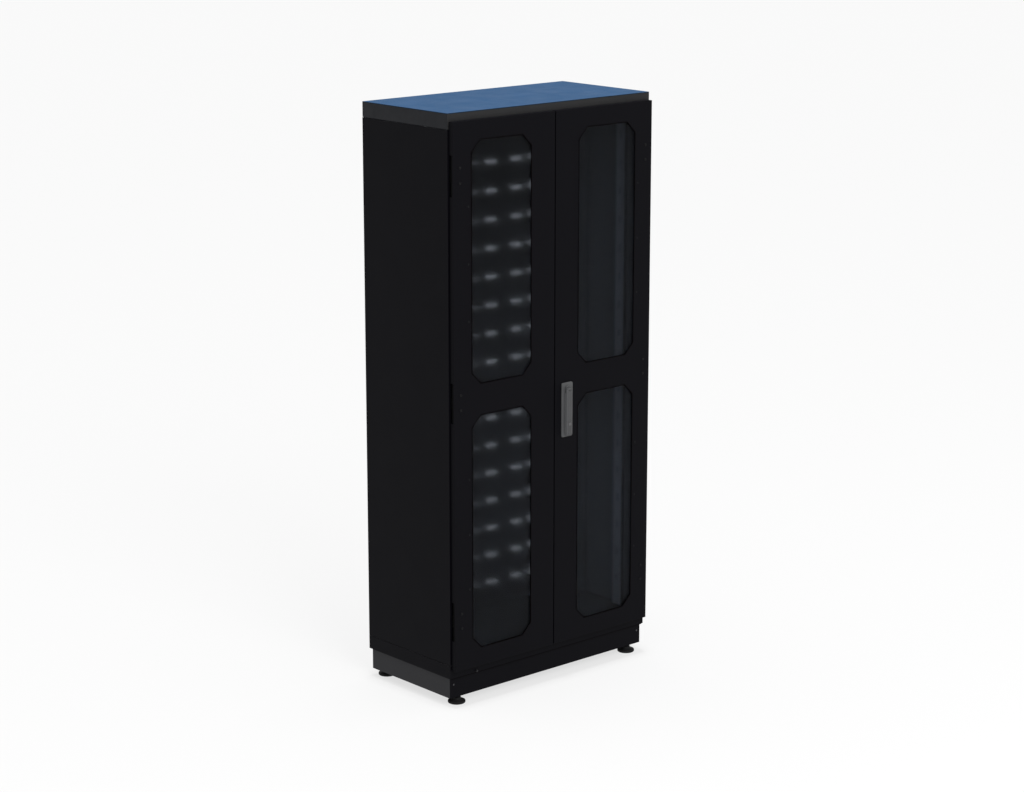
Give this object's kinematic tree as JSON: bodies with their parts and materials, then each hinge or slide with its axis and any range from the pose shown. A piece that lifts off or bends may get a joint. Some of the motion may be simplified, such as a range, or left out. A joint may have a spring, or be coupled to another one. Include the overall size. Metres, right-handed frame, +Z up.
{
  "type": "anti-static storage cabinet",
  "caption": "Tall free-standing steel cabinet with hinged doors, frosted windows with cut corners, rod-lock swing handle, slotted back, blue dissipative top and levelling feet.",
  "frame": {"origin": "On the floor, under the middle of the cabinet's width and of its depth from the key in the handle to the back panel.", "axes": "+Z up, the doors face -Y, +X is to the right of a person who stands in front of the doors."},
  "size_m": [0.9, 0.4736, 2],
  "materials": {
    "black_paint": "fine-grained black powder coat",
    "grey_paint": "fine-grained dark grey powder coat",
    "board_edge": "laminated board with a dark grey satin edge",
    "blue_mat": "matt blue dissipative mat",
    "frosted_pane": "frosted, slightly smoky",
    "seal_rubber": "matt, black with a red tinge",
    "handle_grey": "satin mid grey",
    "foot_plastic": "matt black moulded",
    "guide_plastic": "matt black moulded",
    "hinge_black": "black-plated steel",
    "zinc": "zinc-plated steel",
    "bright_steel": "polished steel"
  },
  "bodies": {
    "carcass": {"top_panel": "board_edge", "top_mat": "blue_mat", "roof_panel": "black_paint", "left_side_panel": "black_paint", "right_side_panel": "black_paint", "back_panel": "black_paint", "base_tray": "black_paint", "plinth_front": "black_paint", "plinth_back": "black_paint", "plinth_left": "grey_paint", "plinth_right": "grey_paint", "left_front_upright": "grey_paint", "left_rear_upright": "grey_paint", "right_front_upright": "grey_paint", "right_rear_upright": "grey_paint", "earth_stud": "bright_steel", "left_upper_hinge_bracket": "hinge_black", "left_middle_hinge_bracket": "hinge_black", "left_lower_hinge_bracket": "hinge_black", "right_upper_hinge_bracket": "hinge_black", "right_middle_hinge_bracket": "hinge_black", "right_lower_hinge_bracket": "hinge_black"},
    "left_door": {"left_door_shell": "black_paint", "left_upper_seal": "seal_rubber", "left_lower_seal": "seal_rubber", "left_upper_pane": "frosted_pane", "left_lower_pane": "frosted_pane", "left_upper_retainer": "black_paint", "left_lower_retainer": "black_paint", "left_upper_hinge_leaf": "hinge_black", "left_middle_hinge_leaf": "hinge_black", "left_lower_hinge_leaf": "hinge_black", "upper_bolt_guide": "guide_plastic", "lower_bolt_guide": "guide_plastic"},
    "right_door": {"right_door_shell": "black_paint", "right_upper_seal": "seal_rubber", "right_lower_seal": "seal_rubber", "right_upper_pane": "frosted_pane", "right_lower_pane": "frosted_pane", "right_upper_retainer": "black_paint", "right_lower_retainer": "black_paint", "right_upper_hinge_leaf": "hinge_black", "right_middle_hinge_leaf": "hinge_black", "right_lower_hinge_leaf": "hinge_black", "handle_housing": "handle_grey", "lock_case": "zinc", "upper_rod_guide": "guide_plastic", "lower_rod_guide": "guide_plastic"},
    "spindle": {"handle_spindle": "handle_grey", "lock_cam": "zinc"},
    "lever": {"handle_lever": "handle_grey"},
    "key": {"key_cylinder": "bright_steel"},
    "upper_rod": {"upper_lock_rod": "zinc"},
    "lower_rod": {"lower_lock_rod": "zinc"},
    "left_upper_bolt": {"upper_bolt": "zinc"},
    "left_lower_bolt": {"lower_bolt": "zinc"},
    "left_front_leveller": {"left_front_foot": "foot_plastic"},
    "left_rear_leveller": {"left_rear_foot": "foot_plastic"},
    "right_front_leveller": {"right_front_foot": "foot_plastic"},
    "right_rear_leveller": {"right_rear_foot": "foot_plastic"}
  },
  "joints": [
    {"name": "left_door_hinge", "type": "hinge", "parent": "carcass", "child": "left_door", "pos_m": [-0.4396, -0.2094, 1.051], "axis": [0, 0, -1], "range_deg": [0, 110]},
    {"name": "right_door_hinge", "type": "hinge", "parent": "carcass", "child": "right_door", "pos_m": [0.4396, -0.2094, 1.051], "axis": [0, 0, 1], "range_deg": [0, 110]},
    {"name": "handle_turn", "type": "hinge", "parent": "right_door", "child": "spindle", "pos_m": [0.055, -0.2265, 1.027], "axis": [0, -1, 0], "range_deg": [0, 90]},
    {"name": "lever_swing", "type": "hinge", "parent": "spindle", "child": "lever", "pos_m": [0.055, -0.2316, 1.027], "axis": [-1, 0, 0], "range_deg": [0, 40]},
    {"name": "key_turn", "type": "hinge", "parent": "lever", "child": "key", "pos_m": [0.055, -0.2362, 0.906], "axis": [0, -1, 0], "range_deg": [0, 90]},
    {"name": "upper_rod_slide", "type": "slide", "parent": "right_door", "child": "upper_rod", "axis": [0, 0, -1], "range_m": [0, 0.018]},
    {"name": "lower_rod_slide", "type": "slide", "parent": "right_door", "child": "lower_rod", "axis": [0, 0, 1], "range_m": [0, 0.018]},
    {"name": "upper_bolt_slide", "type": "slide", "parent": "left_door", "child": "left_upper_bolt", "axis": [0, 0, 1], "range_m": [0, 0.014]},
    {"name": "lower_bolt_slide", "type": "slide", "parent": "left_door", "child": "left_lower_bolt", "axis": [0, 0, -1], "range_m": [0, 0.014]},
    {"name": "left_front_foot_turn", "type": "hinge", "parent": "carcass", "child": "left_front_leveller", "pos_m": [-0.397, -0.1672, 0.014], "axis": [0, 0, 1], "continuous": true},
    {"name": "left_rear_foot_turn", "type": "hinge", "parent": "carcass", "child": "left_rear_leveller", "pos_m": [-0.397, 0.2066, 0.014], "axis": [0, 0, 1], "continuous": true},
    {"name": "right_front_foot_turn", "type": "hinge", "parent": "carcass", "child": "right_front_leveller", "pos_m": [0.397, -0.1672, 0.014], "axis": [0, 0, 1], "continuous": true},
    {"name": "right_rear_foot_turn", "type": "hinge", "parent": "carcass", "child": "right_rear_leveller", "pos_m": [0.397, 0.2066, 0.014], "axis": [0, 0, 1], "continuous": true}
  ],
  "couplings": [
    {"joint": "upper_rod_slide", "follows": "handle_turn", "m_per_rad": 0.011434},
    {"joint": "lower_rod_slide", "follows": "handle_turn", "m_per_rad": 0.011434}
  ]
}
